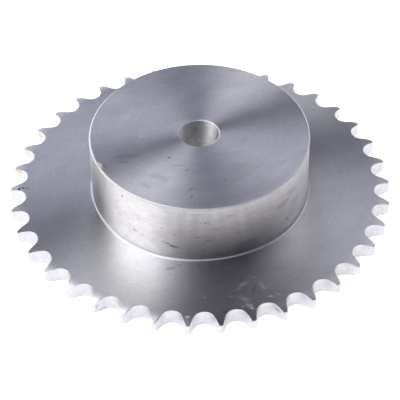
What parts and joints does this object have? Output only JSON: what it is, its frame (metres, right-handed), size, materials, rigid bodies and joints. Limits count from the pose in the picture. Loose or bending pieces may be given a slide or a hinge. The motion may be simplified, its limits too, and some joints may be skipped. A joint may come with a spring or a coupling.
{
  "type": "chain sprocket",
  "caption": "Steel roller chain sprocket with a plain round hub on one side of its toothed plate and a small pilot bore, to be bored out for a shaft.",
  "frame": {"origin": "centre of the bore on the flat back face of the toothed plate", "axes": "+Z along the shaft from the back face towards the hub; one tooth is centred on +X"},
  "size_m": [0.1586, 0.1582, 0.035],
  "materials": {
    "turned_steel": "bright turned carbon steel, satin, with fine concentric tool marks"
  },
  "bodies": {
    "root": {"sprocket": "turned_steel"}
  },
  "joints": []
}
